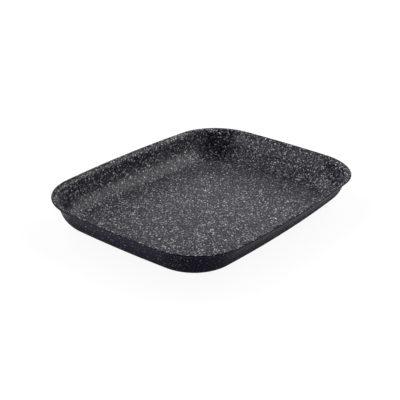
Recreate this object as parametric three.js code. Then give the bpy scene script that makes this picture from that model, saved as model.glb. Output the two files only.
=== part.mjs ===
import * as THREE from "three";

// A pressed aluminium roasting pan: one drawn sheet with a rounded rectangular plan, slightly bowed
// sides, sloping walls and a lip that rolls outwards, coated with a non-stick film inside and outside.
// Millimetres and degrees, +Z up, long sides along X, origin under the middle of the base.

// Plan of the rim, measured over the lip
const RIM_LENGTH = 400;
const RIM_WIDTH = 300;
const LONG_SIDE_RADIUS = 1800; // outward bow of the two long sides
const SHORT_SIDE_RADIUS = 1600; // outward bow of the two short sides
const CORNER_RADIUS = 78;
const TIGHTEST_CORNER = 4; // smallest plan radius that the sheet can be drawn to

// Section through the wall
const PAN_HEIGHT = 42; // underside to the crest of the lip, coatings included
const SHEET_THICKNESS = 2;
const WALL_ANGLE = 74; // slope of the wall above the level base
const BASE_FILLET = 33; // inside radius between the base and the wall
const SHORTEST_WALL = 1; // straight wall that always stays between fillet and lip
const LIP_RADIUS = 9; // radius of the lip on its upper face
const LIP_DROOP = 8; // how far the lip turns below level at its edge

// Coatings
const INNER_COAT = 0.06;
const OUTER_COAT = 0.04;

// Facets along each curve
const FILLET_STEPS = 5;
const LIP_STEPS = 4;
const CORNER_STEPS = 8;
const LONG_SIDE_STEPS = 6;
const SHORT_SIDE_STEPS = 4;

const HALF_TURN = Math.PI;
const QUARTER_TURN = HALF_TURN / 2;
const wallAngle = THREE.MathUtils.degToRad(WALL_ANGLE);
const lipDroop = THREE.MathUtils.degToRad(LIP_DROOP);

// The section is set out on the upper face of the bare sheet. Its x is the distance outwards from the
// foot of the fillet, where the level base ends, and its y is the height.
const floorHeight = OUTER_COAT + SHEET_THICKNESS;
const lipCentreHeight = PAN_HEIGHT - INNER_COAT - LIP_RADIUS;
const wallTopHeight = lipCentreHeight + LIP_RADIUS * Math.cos(wallAngle);

// A fillet of this size would use up the whole wall, so the fillet stays below it.
const tallestFillet = (wallTopHeight - SHORTEST_WALL - floorHeight) / (1 - Math.cos(wallAngle));
const filletRadius = Math.min(BASE_FILLET, tallestFillet);
const filletCentre = new THREE.Vector2(0, floorHeight + filletRadius);
const filletTopHeight = floorHeight + filletRadius * (1 - Math.cos(wallAngle));
const wallRun = (wallTopHeight - filletTopHeight) / Math.tan(wallAngle);
const lipCentre = new THREE.Vector2(
  (filletRadius + LIP_RADIUS) * Math.sin(wallAngle) + wallRun,
  lipCentreHeight,
);

// Directions at the cut edge of the lip: along the sheet towards the edge, and up through the sheet
const edgeDirection = new THREE.Vector2(Math.cos(lipDroop), -Math.sin(lipDroop));
const edgeNormal = new THREE.Vector2(Math.sin(lipDroop), Math.cos(lipDroop));

// A point at the end of the lip, lifted above the sheet's upper face and pushed out past the cut edge
function edgePoint(lift, beyond) {
  return lipCentre
    .clone()
    .addScaledVector(edgeNormal, LIP_RADIUS + lift)
    .addScaledVector(edgeDirection, beyond);
}

const edgeReach = edgePoint(INNER_COAT, OUTER_COAT).x;

// The section of a surface that lies at a constant lift from the sheet's upper face: the fillet turns
// up from the base, a straight wall follows, and the lip rolls over its crest and droops to its edge.
function wallSection(lift) {
  const turnUp = new THREE.EllipseCurve(
    filletCentre.x,
    filletCentre.y,
    filletRadius - lift,
    filletRadius - lift,
    -QUARTER_TURN,
    -QUARTER_TURN + wallAngle,
  );
  const rollOut = new THREE.EllipseCurve(
    lipCentre.x,
    lipCentre.y,
    LIP_RADIUS + lift,
    LIP_RADIUS + lift,
    QUARTER_TURN + wallAngle,
    QUARTER_TURN,
    true,
  );
  return [...turnUp.getPoints(FILLET_STEPS), ...rollOut.getPoints(LIP_STEPS), edgePoint(lift, 0)];
}

// Where a circle about (-a, 0) crosses a circle about (0, -b), in the quarter where x and y are positive.
// With the two sides' radii less the corner's, it is the centre of a corner tangent to both sides.
function crossing(a, radiusA, b, radiusB) {
  const apart = Math.hypot(a, b);
  const along = (apart ** 2 + radiusA ** 2 - radiusB ** 2) / (2 * apart);
  const across = Math.sqrt(radiusA ** 2 - along ** 2);
  return new THREE.Vector2(
    -a + (along * a + across * b) / apart,
    (-along * b + across * a) / apart,
  );
}

// The plan outline at a distance inside the rim, anticlockwise from the start of the +X side: four bowed
// sides and four corner arcs, each tangent to its neighbours.
function planOutline(inset) {
  const cornerRadius = Math.max(CORNER_RADIUS - inset, TIGHTEST_CORNER);
  const longRadius = LONG_SIDE_RADIUS - inset;
  const shortRadius = SHORT_SIDE_RADIUS - inset;
  const shortBack = SHORT_SIDE_RADIUS - RIM_LENGTH / 2;
  const longBack = LONG_SIDE_RADIUS - RIM_WIDTH / 2;
  const corner = crossing(shortBack, shortRadius - cornerRadius, longBack, longRadius - cornerRadius);
  const cornerStart = Math.atan2(corner.y, corner.x + shortBack);
  const cornerEnd = Math.atan2(corner.y + longBack, corner.x);
  const arcs = [
    [-shortBack, 0, shortRadius, -cornerStart, cornerStart, SHORT_SIDE_STEPS],
    [corner.x, corner.y, cornerRadius, cornerStart, cornerEnd, CORNER_STEPS],
    [0, -longBack, longRadius, cornerEnd, HALF_TURN - cornerEnd, LONG_SIDE_STEPS],
    [-corner.x, corner.y, cornerRadius, HALF_TURN - cornerEnd, HALF_TURN - cornerStart, CORNER_STEPS],
    [shortBack, 0, shortRadius, HALF_TURN - cornerStart, HALF_TURN + cornerStart, SHORT_SIDE_STEPS],
    [-corner.x, -corner.y, cornerRadius, HALF_TURN + cornerStart, HALF_TURN + cornerEnd, CORNER_STEPS],
    [0, longBack, longRadius, HALF_TURN + cornerEnd, 2 * HALF_TURN - cornerEnd, LONG_SIDE_STEPS],
    [corner.x, -corner.y, cornerRadius, -cornerEnd, -cornerStart, CORNER_STEPS],
  ];
  return arcs.flatMap(([x, y, radius, from, to, steps]) => {
    const arc = new THREE.EllipseCurve(x, y, radius, radius, from, to);
    return arc.getPoints(steps).slice(0, -1);
  });
}

// The face that a section sweeps round the plan, from a point in the middle of the base out to the
// section's last point. Each section point becomes one ring, and the base is a fan inside the first.
// Triangles face up and into the pan.
function sweptFace(section) {
  const vertices = [new THREE.Vector3(0, 0, section[0].y)];
  const rings = section.map((point) => {
    const first = vertices.length;
    const outline = planOutline(edgeReach - point.x);
    vertices.push(...outline.map(({ x, y }) => new THREE.Vector3(x, y, point.y)));
    return outline.map((_, index) => first + index);
  });
  const fan = rings[0].map((corner, index) => [0, corner, following(rings[0], index)]);
  const strips = rings.slice(1).flatMap((outer, step) => strip(rings[step], outer));
  return { vertices, triangles: [...fan, ...strips], edge: rings.at(-1) };
}

function following(ring, index) {
  return ring[(index + 1) % ring.length];
}

// The band of triangles between two rings with equally many corners
function strip(inner, outer) {
  return inner.flatMap((corner, index) => [
    [corner, outer[index], following(outer, index)],
    [corner, following(outer, index), following(inner, index)],
  ]);
}

// A closed solid between an upper and a lower section: both faces, and the band that joins their edges.
function solidBetween(upperSection, lowerSection) {
  const upper = sweptFace(upperSection);
  const lower = sweptFace(lowerSection);
  const offset = upper.vertices.length;
  const lowerTriangles = lower.triangles.map((triangle) => triangle.map((index) => index + offset));
  const lowerEdge = lower.edge.map((index) => index + offset);
  const facingDown = [...lowerTriangles, ...strip(lowerEdge, upper.edge)].map(([a, b, c]) => [a, c, b]);
  const geometry = new THREE.BufferGeometry();
  geometry.setFromPoints([...upper.vertices, ...lower.vertices]);
  geometry.setIndex([...upper.triangles, ...facingDown].flat());
  geometry.computeVertexNormals();
  return geometry;
}

// Pressed aluminium sheet that carries everything
function panBody() {
  const material = new THREE.MeshStandardMaterial({ color: 0xb4b6b8, roughness: 0.42, metalness: 1 });
  return new THREE.Mesh(solidBetween(wallSection(0), wallSection(-SHEET_THICKNESS)), material);
}

// Speckled charcoal film over the base, the walls and the top of the lip
function innerCoating() {
  const material = new THREE.MeshStandardMaterial({ color: 0x3a3a40, roughness: 0.48, metalness: 0 });
  return new THREE.Mesh(solidBetween(wallSection(INNER_COAT), wallSection(0)), material);
}

// Darker film over the underside and the outer wall, carried under the lip and round its cut edge
// until it meets the end of the inner film.
function outerCoating() {
  const material = new THREE.MeshStandardMaterial({ color: 0x262429, roughness: 0.4, metalness: 0 });
  const backing = [
    ...wallSection(-SHEET_THICKNESS),
    edgePoint(0, 0),
    edgePoint(INNER_COAT, 0),
  ];
  const outside = [
    ...wallSection(-SHEET_THICKNESS - OUTER_COAT),
    edgePoint(-SHEET_THICKNESS - OUTER_COAT, OUTER_COAT),
    edgePoint(INNER_COAT, OUTER_COAT),
  ];
  return new THREE.Mesh(solidBetween(backing, outside), material);
}

const pieces = {
  pan_body: panBody(),
  inner_coating: innerCoating(),
  outer_coating: outerCoating(),
};

const roastingPan = new THREE.Group();
for (const [name, mesh] of Object.entries(pieces)) {
  mesh.name = name;
  roastingPan.add(mesh);
}

export default roastingPan;
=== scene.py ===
import math

import bpy
import numpy as np
from mathutils import Matrix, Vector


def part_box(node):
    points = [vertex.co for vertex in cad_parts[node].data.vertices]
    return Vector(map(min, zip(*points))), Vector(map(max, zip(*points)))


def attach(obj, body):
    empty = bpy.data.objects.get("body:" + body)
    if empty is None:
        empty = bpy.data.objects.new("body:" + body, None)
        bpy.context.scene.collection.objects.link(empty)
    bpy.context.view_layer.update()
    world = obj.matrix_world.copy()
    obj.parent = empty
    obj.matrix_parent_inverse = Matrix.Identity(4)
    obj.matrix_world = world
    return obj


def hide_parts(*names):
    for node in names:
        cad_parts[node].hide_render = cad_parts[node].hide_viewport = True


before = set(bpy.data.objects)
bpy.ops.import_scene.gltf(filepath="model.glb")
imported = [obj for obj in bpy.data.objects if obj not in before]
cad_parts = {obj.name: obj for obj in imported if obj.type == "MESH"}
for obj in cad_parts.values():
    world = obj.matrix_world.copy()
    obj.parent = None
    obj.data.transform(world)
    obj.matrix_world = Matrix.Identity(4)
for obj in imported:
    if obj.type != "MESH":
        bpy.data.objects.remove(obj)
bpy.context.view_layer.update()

scene = bpy.context.scene
scene.view_settings.view_transform = "Standard"

# Camera
# A long lens looks down at one corner of the pan from a little over a metre away. It is turned slightly
# about its own axis, and the middle of the base lies just below and right of the middle of the picture.
PICTURE_SIZE = 400
SENSOR_WIDTH = 36.0
FOCAL_LENGTH_PIXELS = 843.6
BASE_RIGHT_OF_MIDDLE = 7.0
BASE_BELOW_MIDDLE = 8.9
VIEW_AZIMUTH = math.radians(-53.92)
VIEW_ELEVATION = math.radians(25.5)
VIEW_ROLL = math.radians(-2.52)
VIEW_DISTANCE = 1.174


def facing_middle(azimuth, elevation, roll, distance):
    """A place on a sphere about the middle of the base, facing it and turned by roll about its own axis.

    Azimuth 0 is on the -Y side, and it grows towards +X.
    """
    level = math.cos(elevation)
    back = np.array([math.sin(azimuth) * level, -math.cos(azimuth) * level, math.sin(elevation)])
    level_right = np.array([math.cos(azimuth), math.sin(azimuth), 0.0])
    level_up = np.cross(back, level_right)
    right = math.cos(roll) * level_right - math.sin(roll) * level_up
    up = math.sin(roll) * level_right + math.cos(roll) * level_up
    matrix = np.eye(4)
    matrix[:3] = np.column_stack([right, up, back, back * distance])
    return Matrix(matrix.tolist())


camera_data = bpy.data.cameras.new("camera")
camera_data.sensor_width = SENSOR_WIDTH
camera_data.lens = FOCAL_LENGTH_PIXELS * SENSOR_WIDTH / PICTURE_SIZE
camera_data.shift_x = -BASE_RIGHT_OF_MIDDLE / PICTURE_SIZE
camera_data.shift_y = BASE_BELOW_MIDDLE / PICTURE_SIZE
camera = bpy.data.objects.new("camera", camera_data)
camera.matrix_world = facing_middle(VIEW_AZIMUTH, VIEW_ELEVATION, VIEW_ROLL, VIEW_DISTANCE)
scene.collection.objects.link(camera)
scene.camera = camera

# Pan body
# The body is one blank of 2 mm aluminium sheet, drawn in a press: a level base, a wide fillet, a sloping
# wall and a lip that rolls outwards to a rounded edge. The films cover it on both sides.

# Plan of the rim, in metres
RIM_LOW, RIM_HIGH = (np.array(corner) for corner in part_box("outer_coating"))
RIM_LENGTH, RIM_WIDTH = (RIM_HIGH - RIM_LOW)[:2]
LONG_SIDE_RADIUS = 1.8
SHORT_SIDE_RADIUS = 1.6
CORNER_RADIUS = 0.078

# Section through the wall, in metres
PAN_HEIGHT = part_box("inner_coating")[1][2]
SHEET = 0.002
INNER_FILM = 0.00006
OUTER_FILM = 0.00004
WALL_ANGLE = math.radians(74)
BASE_FILLET = 0.033
LIP_RADIUS = 0.009
LIP_DROOP = math.radians(8)

# Facets along each curve
CORNER_STEPS = 36
LONG_SIDE_STEPS = 30
SHORT_SIDE_STEPS = 24
BASE_STEPS = 20
FILLET_STEPS = 26
WALL_STEPS = 8
LIP_STEPS = 24
NOSE_STEPS = 12

# Heights and reaches of the section, measured from the underside and the foot of the fillet
FLOOR_HEIGHT = OUTER_FILM + SHEET
LIP_CENTRE_HEIGHT = PAN_HEIGHT - INNER_FILM - LIP_RADIUS
WALL_TOP = LIP_CENTRE_HEIGHT + LIP_RADIUS * math.cos(WALL_ANGLE)
FILLET_TOP = FLOOR_HEIGHT + BASE_FILLET * (1 - math.cos(WALL_ANGLE))
WALL_RUN = (WALL_TOP - FILLET_TOP) / math.tan(WALL_ANGLE)
LIP_CENTRE_REACH = (BASE_FILLET + LIP_RADIUS) * math.sin(WALL_ANGLE) + WALL_RUN
EDGE_REACH = (
    LIP_CENTRE_REACH
    + (LIP_RADIUS + INNER_FILM) * math.sin(LIP_DROOP)
    + OUTER_FILM * math.cos(LIP_DROOP)
)
NOSE_RADIUS = SHEET / 2
NOSE_DROOP = LIP_DROOP - NOSE_RADIUS / (LIP_RADIUS - NOSE_RADIUS)
NOSE_REACH = LIP_CENTRE_REACH + (LIP_RADIUS - NOSE_RADIUS) * math.sin(NOSE_DROOP)
NOSE_HEIGHT = LIP_CENTRE_HEIGHT + (LIP_RADIUS - NOSE_RADIUS) * math.cos(NOSE_DROOP)

# Mill finish of the sheet: rolling lines per metre, tones, and how dull and how deep the lines are
LINES_ALONG = 40.0
LINES_ACROSS = 4000.0
SHEET_DARK = (0.60, 0.61, 0.62, 1)
SHEET_LIGHT = (0.76, 0.77, 0.78, 1)
SHEET_ROUGHNESS = (0.3, 0.46)
LINE_STRENGTH = 0.1
LINE_DEPTH = 0.0001


def arc(centre, radius, start, end, steps):
    """Points on a circle from one angle to another, as an array of (reach, height) rows."""
    angle = np.linspace(start, end, steps + 1)
    return np.column_stack([centre[0] + radius * np.cos(angle), centre[1] + radius * np.sin(angle)])


def face_section(lift):
    """Section of a face that lies at a constant lift above the sheet's upper face.

    Reach is measured outwards from the foot of the fillet. The fillet turns up through the wall angle
    about a centre above its foot, a straight wall follows, and the lip rolls over a centre outside it.
    """
    quarter = math.pi / 2
    fillet_centre = (0.0, FLOOR_HEIGHT + BASE_FILLET)
    fillet = arc(fillet_centre, BASE_FILLET - lift, -quarter, WALL_ANGLE - quarter, FILLET_STEPS)
    lip_centre = (LIP_CENTRE_REACH, LIP_CENTRE_HEIGHT)
    lip = arc(lip_centre, LIP_RADIUS + lift, quarter + WALL_ANGLE, quarter - NOSE_DROOP, LIP_STEPS)
    wall = np.linspace(fillet[-1], lip[0], WALL_STEPS + 1)[1:-1]
    return np.vstack([fillet, wall, lip])


def nose_section(film):
    """Half circle round the sheet's trimmed edge, from its upper to its lower face, outside a film."""
    start = math.pi / 2 - NOSE_DROOP
    return arc((NOSE_REACH, NOSE_HEIGHT), NOSE_RADIUS + film, start, start - math.pi, NOSE_STEPS)


def plan_arcs():
    """Centre, radius and direction of each point round the rim.

    The sides are wide arcs, and each corner arc is tangent to both its neighbours. Its centre is where
    circles about the sides' centres cross, with the sides' radii less the corner's.
    """
    short_back = SHORT_SIDE_RADIUS - RIM_LENGTH / 2
    long_back = LONG_SIDE_RADIUS - RIM_WIDTH / 2
    short_gap = SHORT_SIDE_RADIUS - CORNER_RADIUS
    long_gap = LONG_SIDE_RADIUS - CORNER_RADIUS
    apart = math.hypot(short_back, long_back)
    along = (apart**2 + short_gap**2 - long_gap**2) / (2 * apart)
    across = math.sqrt(short_gap**2 - along**2)
    corner_x = -short_back + (along * short_back + across * long_back) / apart
    corner_y = (across * short_back - along * long_back) / apart
    start = math.atan2(corner_y, corner_x + short_back)
    end = math.atan2(corner_y + long_back, corner_x)
    half = math.pi
    arcs = [
        (-short_back, 0.0, SHORT_SIDE_RADIUS, -start, start, SHORT_SIDE_STEPS),
        (corner_x, corner_y, CORNER_RADIUS, start, end, CORNER_STEPS),
        (0.0, -long_back, LONG_SIDE_RADIUS, end, half - end, LONG_SIDE_STEPS),
        (-corner_x, corner_y, CORNER_RADIUS, half - end, half - start, CORNER_STEPS),
        (short_back, 0.0, SHORT_SIDE_RADIUS, half - start, half + start, SHORT_SIDE_STEPS),
        (-corner_x, -corner_y, CORNER_RADIUS, half + start, half + end, CORNER_STEPS),
        (0.0, long_back, LONG_SIDE_RADIUS, half + end, 2 * half - end, LONG_SIDE_STEPS),
        (corner_x, -corner_y, CORNER_RADIUS, -end, -start, CORNER_STEPS),
    ]
    steps = [row[5] for row in arcs]
    centre = np.repeat([row[:2] for row in arcs], steps, axis=0)
    radius = np.repeat([row[2] for row in arcs], steps)
    angle = np.concatenate([np.linspace(row[3], row[4], row[5], endpoint=False) for row in arcs])
    return centre, radius, np.column_stack([np.cos(angle), np.sin(angle)])


def swept_solid(name, upper, lower):
    """A closed solid swept round the plan by a section, from the middle of one face to that of the other.

    Each section point is an inset from the rim: its ring is the plan with every radius cut by the inset.
    The level base is the foot of the fillet shrunk towards the middle, down to one point on each side.
    """
    shrink = np.linspace(0, 1, BASE_STEPS + 1)[:-1]
    scale = np.concatenate([shrink, np.ones(len(upper) + len(lower)), shrink[::-1]])
    upper_base = np.repeat(upper[:1], BASE_STEPS, axis=0)
    lower_base = np.repeat(lower[-1:], BASE_STEPS, axis=0)
    section = np.vstack([upper_base, upper, lower, lower_base])
    inset = EDGE_REACH - section[:, 0]
    centre, radius, direction = plan_arcs()
    plan = centre[None] + (radius[None, :, None] - inset[:, None, None]) * direction[None]
    grid = np.empty((len(scale), len(radius), 3))
    grid[:, :, :2] = plan * scale[:, None, None]
    grid[:, :, 2] = section[:, 1, None]

    around = grid.shape[1]
    rings = grid.shape[0] - 2
    vertices = np.vstack([grid[1:-1].reshape(-1, 3), grid[0, :1], grid[-1, :1]])
    here = np.arange(around)
    after = (here + 1) % around
    first = np.arange(rings - 1)[:, None] * around
    second = first + around
    quads = np.stack([first + here, second + here, second + after, first + after], axis=-1)
    top_fan = np.column_stack([np.full(around, rings * around), here, after])
    last = (rings - 1) * around
    bottom_fan = np.column_stack([np.full(around, rings * around + 1), last + after, last + here])
    faces = quads.reshape(-1, 4).tolist() + top_fan.tolist() + bottom_fan.tolist()

    mesh = bpy.data.meshes.new(name)
    mesh.from_pydata(vertices.tolist(), [], faces)
    mesh.polygons.foreach_set("use_smooth", np.ones(len(mesh.polygons), dtype=bool))
    mesh.update()
    piece = bpy.data.objects.new(name, mesh)
    scene.collection.objects.link(piece)
    return piece


def new_material(name):
    """A new material, with its node tree and its Principled shader."""
    material = bpy.data.materials.new(name)
    material.use_nodes = True
    tree = material.node_tree
    return material, tree, tree.nodes["Principled BSDF"]


def add_node(tree, kind, inputs=None, **settings):
    """Adds a node, sets its properties, and fills its inputs with values or links."""
    node = tree.nodes.new(kind)
    for key, value in settings.items():
        setattr(node, key, value)
    for key, value in (inputs or {}).items():
        if isinstance(value, bpy.types.NodeSocket):
            tree.links.new(value, node.inputs[key])
        else:
            node.inputs[key].default_value = value
    return node


def object_place(tree):
    """The place of a surface point on its piece, in metres."""
    return add_node(tree, "ShaderNodeTexCoord").outputs["Object"]


def noise(tree, place, turns, detail):
    """Smooth random values about one half, which change about so many times in one unit of place."""
    inputs = {"Vector": place, "Scale": turns, "Detail": detail}
    return add_node(tree, "ShaderNodeTexNoise", inputs).outputs["Fac"]


def map_range(tree, value, start, end, low, high, **settings):
    """Low where the value is at its start or below, high at its end or above, and a blend between."""
    inputs = {"Value": value, "From Min": start, "From Max": end, "To Min": low, "To Max": high}
    return add_node(tree, "ShaderNodeMapRange", inputs, **settings).outputs["Result"]


def raise_skin(tree, shader, height, strength, depth):
    """Tilts the shader's surface as a pattern of heights would, up to a depth in metres."""
    inputs = {"Height": height, "Strength": strength, "Distance": depth}
    bump = add_node(tree, "ShaderNodeBump", inputs)
    tree.links.new(bump.outputs["Normal"], shader.inputs["Normal"])


def sheet_aluminium():
    """Mill-finished aluminium: fine rolling lines along the blank, with slightly uneven brightness."""
    material, tree, shader = new_material("sheet_aluminium")
    spacing = {"Vector": object_place(tree), "Scale": (LINES_ALONG, LINES_ACROSS, LINES_ACROSS)}
    stretched = add_node(tree, "ShaderNodeMapping", spacing).outputs[0]
    lines = noise(tree, stretched, turns=1.0, detail=3.0)
    tone = add_node(tree, "ShaderNodeValToRGB", {"Fac": lines})
    tone.color_ramp.elements[0].color = SHEET_DARK
    tone.color_ramp.elements[1].color = SHEET_LIGHT
    tree.links.new(tone.outputs["Color"], shader.inputs["Base Color"])
    shader.inputs["Metallic"].default_value = 1.0
    rough = map_range(tree, lines, 0.0, 1.0, *SHEET_ROUGHNESS)
    tree.links.new(rough, shader.inputs["Roughness"])
    raise_skin(tree, shader, lines, LINE_STRENGTH, LINE_DEPTH)
    return material


pan_body = swept_solid(
    "pressed_sheet",
    face_section(0.0),
    np.vstack([nose_section(0.0)[1:-1], face_section(-SHEET)[::-1]]),
)
pan_body.data.materials.append(sheet_aluminium())
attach(pan_body, "root")
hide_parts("pan_body")

# Inner coating
# A sprayed and baked non-stick film covers the base, the walls and the top of the lip. It is satin
# charcoal with a fine grey grain, thick with white and grey mineral flecks that gather in loose clumps,
# and its skin is very slightly pebbled.

# Colours
CHARCOAL = (0.004, 0.0035, 0.009, 1)
GRAIN_GREY = (0.155, 0.155, 0.175, 1)
FINE_FLECK = (0.60, 0.61, 0.65, 1)
COOL_FLECK = (0.72, 0.74, 0.79, 1)
WARM_FLECK = (0.79, 0.75, 0.69, 1)
LARGE_FLECK = (0.84, 0.85, 0.87, 1)

# Patterns, in turns per metre, and the noise values between which grain and clumps come and go
INNER_CLOUDS = 35.0
GRAINS = 380.0
GRAIN_RANGE = (0.54, 0.70)
CLUMPS = 130.0
CLUMP_RANGE = (0.3, 0.7)
PEBBLES = 450.0
PEBBLE_STRENGTH = 0.4
PEBBLE_DEPTH = 0.0004

# Share of cells without a fleck, in a clump and between clumps. Below zero, no cell is empty.
EMPTY_IN_CLUMP = -0.1
EMPTY_BETWEEN = 0.5

# Outlines of the flecks, in cells: how far noise pushes them out of round, and its turns per cell
FLECK_WOBBLE = 0.45
WOBBLE_TURNS = 1.6

# Gloss: the film turns duller over the crest of the lip, from 1.8 to 0.4 mm below its top
INNER_GLOSS = 0.20
SATIN = 0.40
LIP_SATIN = 0.72
LIP_DULL_START = PAN_HEIGHT - 0.0018
LIP_DULL_END = PAN_HEIGHT - 0.0004
ROUGHNESS_STIR = 0.06

# Sockets of the Mix node that carry its colours
MIX_LOWER, MIX_UPPER, MIX_RESULT = 6, 7, 2


def combine(tree, operation, first, second):
    """Two values put together by a sum, a product or the like."""
    return add_node(tree, "ShaderNodeMath", {0: first, 1: second}, operation=operation).outputs[0]


def mix_colour(tree, factor, lower, upper):
    """Blend of two colours, each given as a link or a value."""
    inputs = {"Factor": factor, MIX_LOWER: lower, MIX_UPPER: upper}
    return add_node(tree, "ShaderNodeMix", inputs, data_type="RGBA").outputs[MIX_RESULT]


def fleck_group():
    """Node group that scatters irregular flecks through space.

    Each cell of a Voronoi pattern holds one fleck about its point. A random number per cell sets how
    large the fleck is, or leaves the cell empty, another sets how bright it is, and a third how warm.
    """
    group = bpy.data.node_groups.new("mineral_flecks", "ShaderNodeTree")
    sockets = group.interface
    sockets.new_socket("Place", in_out="INPUT", socket_type="NodeSocketVector")
    for name in ("Cells per Metre", "Empty Share", "Largest Radius", "Softness", "Faintest"):
        sockets.new_socket(name, in_out="INPUT", socket_type="NodeSocketFloat")
    for name in ("Mask", "Warmth"):
        sockets.new_socket(name, in_out="OUTPUT", socket_type="NodeSocketFloat")
    given = group.nodes.new("NodeGroupInput").outputs
    to_cells = {0: given["Place"], "Scale": given["Cells per Metre"]}
    in_cells = add_node(group, "ShaderNodeVectorMath", to_cells, operation="SCALE").outputs[0]
    turns = {"Vector": in_cells, "Scale": WOBBLE_TURNS, "Detail": 1.0}
    wobble = add_node(group, "ShaderNodeTexNoise", turns).outputs["Color"]
    push = {0: wobble, 1: (FLECK_WOBBLE, FLECK_WOBBLE, FLECK_WOBBLE), 2: in_cells}
    shifted = add_node(group, "ShaderNodeVectorMath", push, operation="MULTIPLY_ADD").outputs[0]
    cells = add_node(
        group,
        "ShaderNodeTexVoronoi",
        {"Vector": shifted, "Scale": 1.0, "Randomness": 1.0},
        voronoi_dimensions="3D",
        feature="F1",
    ).outputs
    random = add_node(group, "ShaderNodeSeparateColor", {"Color": cells["Color"]}).outputs
    radius = map_range(group, random["Red"], given["Empty Share"], 1.0, 0.0, given["Largest Radius"])
    full_radius = combine(group, "SUBTRACT", radius, given["Softness"])
    disc = map_range(
        group, cells["Distance"], full_radius, radius, 1.0, 0.0, interpolation_type="SMOOTHSTEP"
    )
    bright = map_range(group, random["Green"], 0.0, 1.0, given["Faintest"], 1.0)
    result = group.nodes.new("NodeGroupOutput")
    group.links.new(combine(group, "MULTIPLY", disc, bright), result.inputs["Mask"])
    group.links.new(random["Blue"], result.inputs["Warmth"])
    return group


mineral_flecks = fleck_group()


def add_flecks(tree, place, cells, empty, radius, softness, faintest):
    """One scatter of flecks with its own cell size, density, size, edge and brightness."""
    inputs = {
        "Place": place,
        "Cells per Metre": cells,
        "Empty Share": empty,
        "Largest Radius": radius,
        "Softness": softness,
        "Faintest": faintest,
    }
    return add_node(tree, "ShaderNodeGroup", inputs, node_tree=mineral_flecks).outputs


def roughness_by_height(tree, place, cloud, low, high, at_low, at_high):
    """Roughness that runs from one value to another between two heights, stirred by a cloudy noise."""
    height = add_node(tree, "ShaderNodeSeparateXYZ", {"Vector": place}).outputs["Z"]
    slope = map_range(tree, height, low, high, at_low, at_high, interpolation_type="SMOOTHSTEP")
    stir = map_range(tree, cloud, 0.0, 1.0, -ROUGHNESS_STIR, ROUGHNESS_STIR)
    return combine(tree, "ADD", slope, stir)


def speckled_nonstick():
    """Charcoal film with grain, three sizes of fleck and a pebbled skin, duller over the lip."""
    material, tree, shader = new_material("speckled_nonstick")
    place = object_place(tree)
    grain = map_range(tree, noise(tree, place, GRAINS, detail=1.0), *GRAIN_RANGE, 0.0, 1.0)
    clumps = noise(tree, place, CLUMPS, detail=2.0)
    empty = map_range(tree, clumps, *CLUMP_RANGE, EMPTY_IN_CLUMP, EMPTY_BETWEEN)
    fine = add_flecks(tree, place, cells=560.0, empty=0.60, radius=0.52, softness=0.14, faintest=0.1)
    middle = add_flecks(tree, place, cells=370.0, empty=empty, radius=0.50, softness=0.12, faintest=0.1)
    large = add_flecks(tree, place, cells=245.0, empty=0.5, radius=0.36, softness=0.08, faintest=0.4)
    middle_fleck = mix_colour(tree, middle["Warmth"], COOL_FLECK, WARM_FLECK)
    colour = mix_colour(tree, grain, CHARCOAL, GRAIN_GREY)
    colour = mix_colour(tree, fine["Mask"], colour, FINE_FLECK)
    colour = mix_colour(tree, middle["Mask"], colour, middle_fleck)
    colour = mix_colour(tree, large["Mask"], colour, LARGE_FLECK)
    tree.links.new(colour, shader.inputs["Base Color"])
    cloud = noise(tree, place, INNER_CLOUDS, detail=4.0)
    rough = roughness_by_height(tree, place, cloud, LIP_DULL_START, LIP_DULL_END, SATIN, LIP_SATIN)
    tree.links.new(rough, shader.inputs["Roughness"])
    shader.inputs["Specular IOR Level"].default_value = INNER_GLOSS
    pebbles = noise(tree, place, PEBBLES, detail=2.0)
    raise_skin(tree, shader, pebbles, PEBBLE_STRENGTH, PEBBLE_DEPTH)
    return material


inner_coating = swept_solid("inner_film", face_section(INNER_FILM), face_section(0.0)[::-1])
inner_coating.data.materials.append(speckled_nonstick())
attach(inner_coating, "root")
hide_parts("inner_coating")

# Outer coating
# A harder, smoother film covers the underside and the outer wall, and wraps under the lip and round the
# trimmed edge to meet the inner film. It is near black with a blue cast and sparse, dimmer flecks, and it
# is duller low down than under the lip.

# Colours
OUTER_BLACK = (0.005, 0.0045, 0.010, 1)
OUTER_CLOUD = (0.008, 0.007, 0.015, 1)
DIM_FINE_FLECK = (0.22, 0.21, 0.26, 1)
DIM_MIDDLE_FLECK = (0.38, 0.37, 0.42, 1)

# Patterns, in turns per metre
OUTER_CLOUDS = 30.0
SPRAY_GRAINS = 900.0
SPRAY_STRENGTH = 0.12
SPRAY_DEPTH = 0.0002

# Gloss, and the heights in metres between which the dull lower wall turns satin
OUTER_GLOSS = 0.08
BLUE_GLOSS = (0.5, 0.5, 1.0, 1)
LOW_WALL_ROUGHNESS = 0.9
UNDER_LIP_ROUGHNESS = 0.36
DULL_UP_TO = 0.010
SATIN_FROM = 0.034


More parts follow.
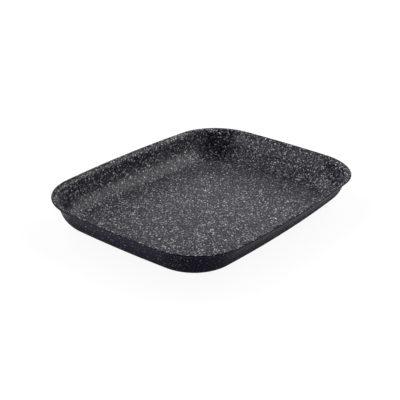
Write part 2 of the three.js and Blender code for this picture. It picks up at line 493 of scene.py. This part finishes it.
def dark_film():
    """Near-black film with sparse flecks, a faint cloudiness and a fine sprayed skin."""
    material, tree, shader = new_material("dark_film")
    place = object_place(tree)
    cloud = noise(tree, place, OUTER_CLOUDS, detail=3.0)
    fine = add_flecks(tree, place, cells=690.0, empty=0.55, radius=0.50, softness=0.14, faintest=0.3)
    middle = add_flecks(tree, place, cells=440.0, empty=0.65, radius=0.46, softness=0.12, faintest=0.3)
    colour = mix_colour(tree, cloud, OUTER_BLACK, OUTER_CLOUD)
    colour = mix_colour(tree, fine["Mask"], colour, DIM_FINE_FLECK)
    colour = mix_colour(tree, middle["Mask"], colour, DIM_MIDDLE_FLECK)
    tree.links.new(colour, shader.inputs["Base Color"])
    rough = roughness_by_height(
        tree, place, cloud, DULL_UP_TO, SATIN_FROM, LOW_WALL_ROUGHNESS, UNDER_LIP_ROUGHNESS
    )
    tree.links.new(rough, shader.inputs["Roughness"])
    shader.inputs["Specular IOR Level"].default_value = OUTER_GLOSS
    shader.inputs["Specular Tint"].default_value = BLUE_GLOSS
    spray = noise(tree, place, SPRAY_GRAINS, detail=2.0)
    raise_skin(tree, shader, spray, SPRAY_STRENGTH, SPRAY_DEPTH)
    return material


outer_coating = swept_solid(
    "outer_film",
    np.vstack([face_section(-SHEET), nose_section(0.0)[::-1]]),
    np.vstack([nose_section(OUTER_FILM), face_section(-SHEET - OUTER_FILM)[::-1]]),
)
outer_coating.data.materials.append(dark_film())
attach(outer_coating, "root")
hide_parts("outer_coating")

# Floor
# The pan stands on a wide sheet that fills the picture. It is grey and throws little light back, but the
# camera and reflections see a white glow added to it, so that it looks white and keeps a faint shadow.
# The glow rises to full white away from the pan, where the lamps no longer reach.
FLOOR_HALF_SIZE = 150.0
FLOOR_DROP = 0.0001
FLOOR_GREY = 0.12
FLOOR_ROUGHNESS = 0.9
GLOW_NEAR = 0.92
GLOW_FAR = 1.0
GLOW_RISE_START = 0.6
GLOW_RISE_END = 2.4


def white_floor():
    """Grey paper that throws a little light, with a glow where it is looked at, directly or reflected."""
    material, tree, shader = new_material("white_floor")
    shader.inputs["Base Color"].default_value = (FLOOR_GREY, FLOOR_GREY, FLOOR_GREY, 1)
    shader.inputs["Roughness"].default_value = FLOOR_ROUGHNESS
    shader.inputs["Specular IOR Level"].default_value = 0.0
    rays = add_node(tree, "ShaderNodeLightPath").outputs
    seen = rays["Is Camera Ray"]
    for also in ("Is Glossy Ray", "Is Transmission Ray"):
        seen = combine(tree, "MAXIMUM", seen, rays[also])
    place = object_place(tree)
    away = add_node(tree, "ShaderNodeVectorMath", {0: place}, operation="LENGTH").outputs["Value"]
    white = map_range(
        tree, away, GLOW_RISE_START, GLOW_RISE_END, GLOW_NEAR, GLOW_FAR, interpolation_type="SMOOTHSTEP"
    )
    strength = combine(tree, "MULTIPLY", seen, white)
    glow = add_node(tree, "ShaderNodeEmission", {"Color": (1, 1, 1, 1), "Strength": strength})
    total = add_node(tree, "ShaderNodeAddShader", {0: shader.outputs[0], 1: glow.outputs[0]})
    tree.links.new(total.outputs[0], tree.nodes["Material Output"].inputs["Surface"])
    return material


corner_signs = ((-1, -1), (1, -1), (1, 1), (-1, 1))
floor_corners = [(x * FLOOR_HALF_SIZE, y * FLOOR_HALF_SIZE, -FLOOR_DROP) for x, y in corner_signs]
floor_mesh = bpy.data.meshes.new("floor")
floor_mesh.from_pydata(floor_corners, [], [(0, 1, 2, 3)])
floor_mesh.materials.append(white_floor())
floor = bpy.data.objects.new("floor", floor_mesh)
scene.collection.objects.link(floor)

# Light
# Seven soft boxes stand round the pan: a low strip and a box above it at the left, a low strip and a wide
# box at the right, a low strip and a faint box behind, and a wide high box at the back left. The camera's
# side stays dim, with only a faint blue surround.
CAMERA_SIDE = math.degrees(VIEW_AZIMUTH)
BOX_DISTANCE = 2.5
COOL_WHITE = (0.95, 0.95, 1.0)
WARM_WHITE = (1.0, 0.98, 0.98)
SURROUND = (0.01, 0.01, 0.03, 1)


def soft_box(name, around, elevation, wide, tall, brightness, colour):
    """A rectangular lamp that faces the pan and fills a wide by tall angle as seen from it.

    Around is its bearing from the camera's side, anticlockwise from above. All angles are in degrees.
    Its power is pi times its area times its brightness.
    """
    lamp = bpy.data.lights.new(name, "AREA")
    lamp.shape = "RECTANGLE"
    lamp.size = 2 * BOX_DISTANCE * math.tan(math.radians(wide / 2))
    lamp.size_y = 2 * BOX_DISTANCE * math.tan(math.radians(tall / 2))
    lamp.energy = math.pi * lamp.size * lamp.size_y * brightness
    lamp.color = colour
    holder = bpy.data.objects.new(name, lamp)
    bearing = math.radians(CAMERA_SIDE + around)
    holder.matrix_world = facing_middle(bearing, math.radians(elevation), 0.0, BOX_DISTANCE)
    scene.collection.objects.link(holder)


soft_box("left_strip", around=306, elevation=6, wide=26, tall=12, brightness=12.5, colour=COOL_WHITE)
soft_box("left_box", around=296, elevation=18, wide=30, tall=14, brightness=4.6, colour=COOL_WHITE)
soft_box("right_strip", around=74, elevation=16, wide=36, tall=16, brightness=3.1, colour=WARM_WHITE)
soft_box("right_box", around=128, elevation=40, wide=56, tall=22, brightness=5.2, colour=WARM_WHITE)
soft_box("back_strip", around=178, elevation=18, wide=30, tall=14, brightness=1.95, colour=WARM_WHITE)
soft_box("back_box", around=200, elevation=40, wide=40, tall=22, brightness=0.7, colour=WARM_WHITE)
soft_box("top_box", around=242, elevation=46, wide=60, tall=24, brightness=3.6, colour=WARM_WHITE)

world = bpy.data.worlds.new("studio")
world.use_nodes = True
background = world.node_tree.nodes["Background"]
background.inputs["Color"].default_value = SURROUND
background.inputs["Strength"].default_value = 1.0
scene.world = world
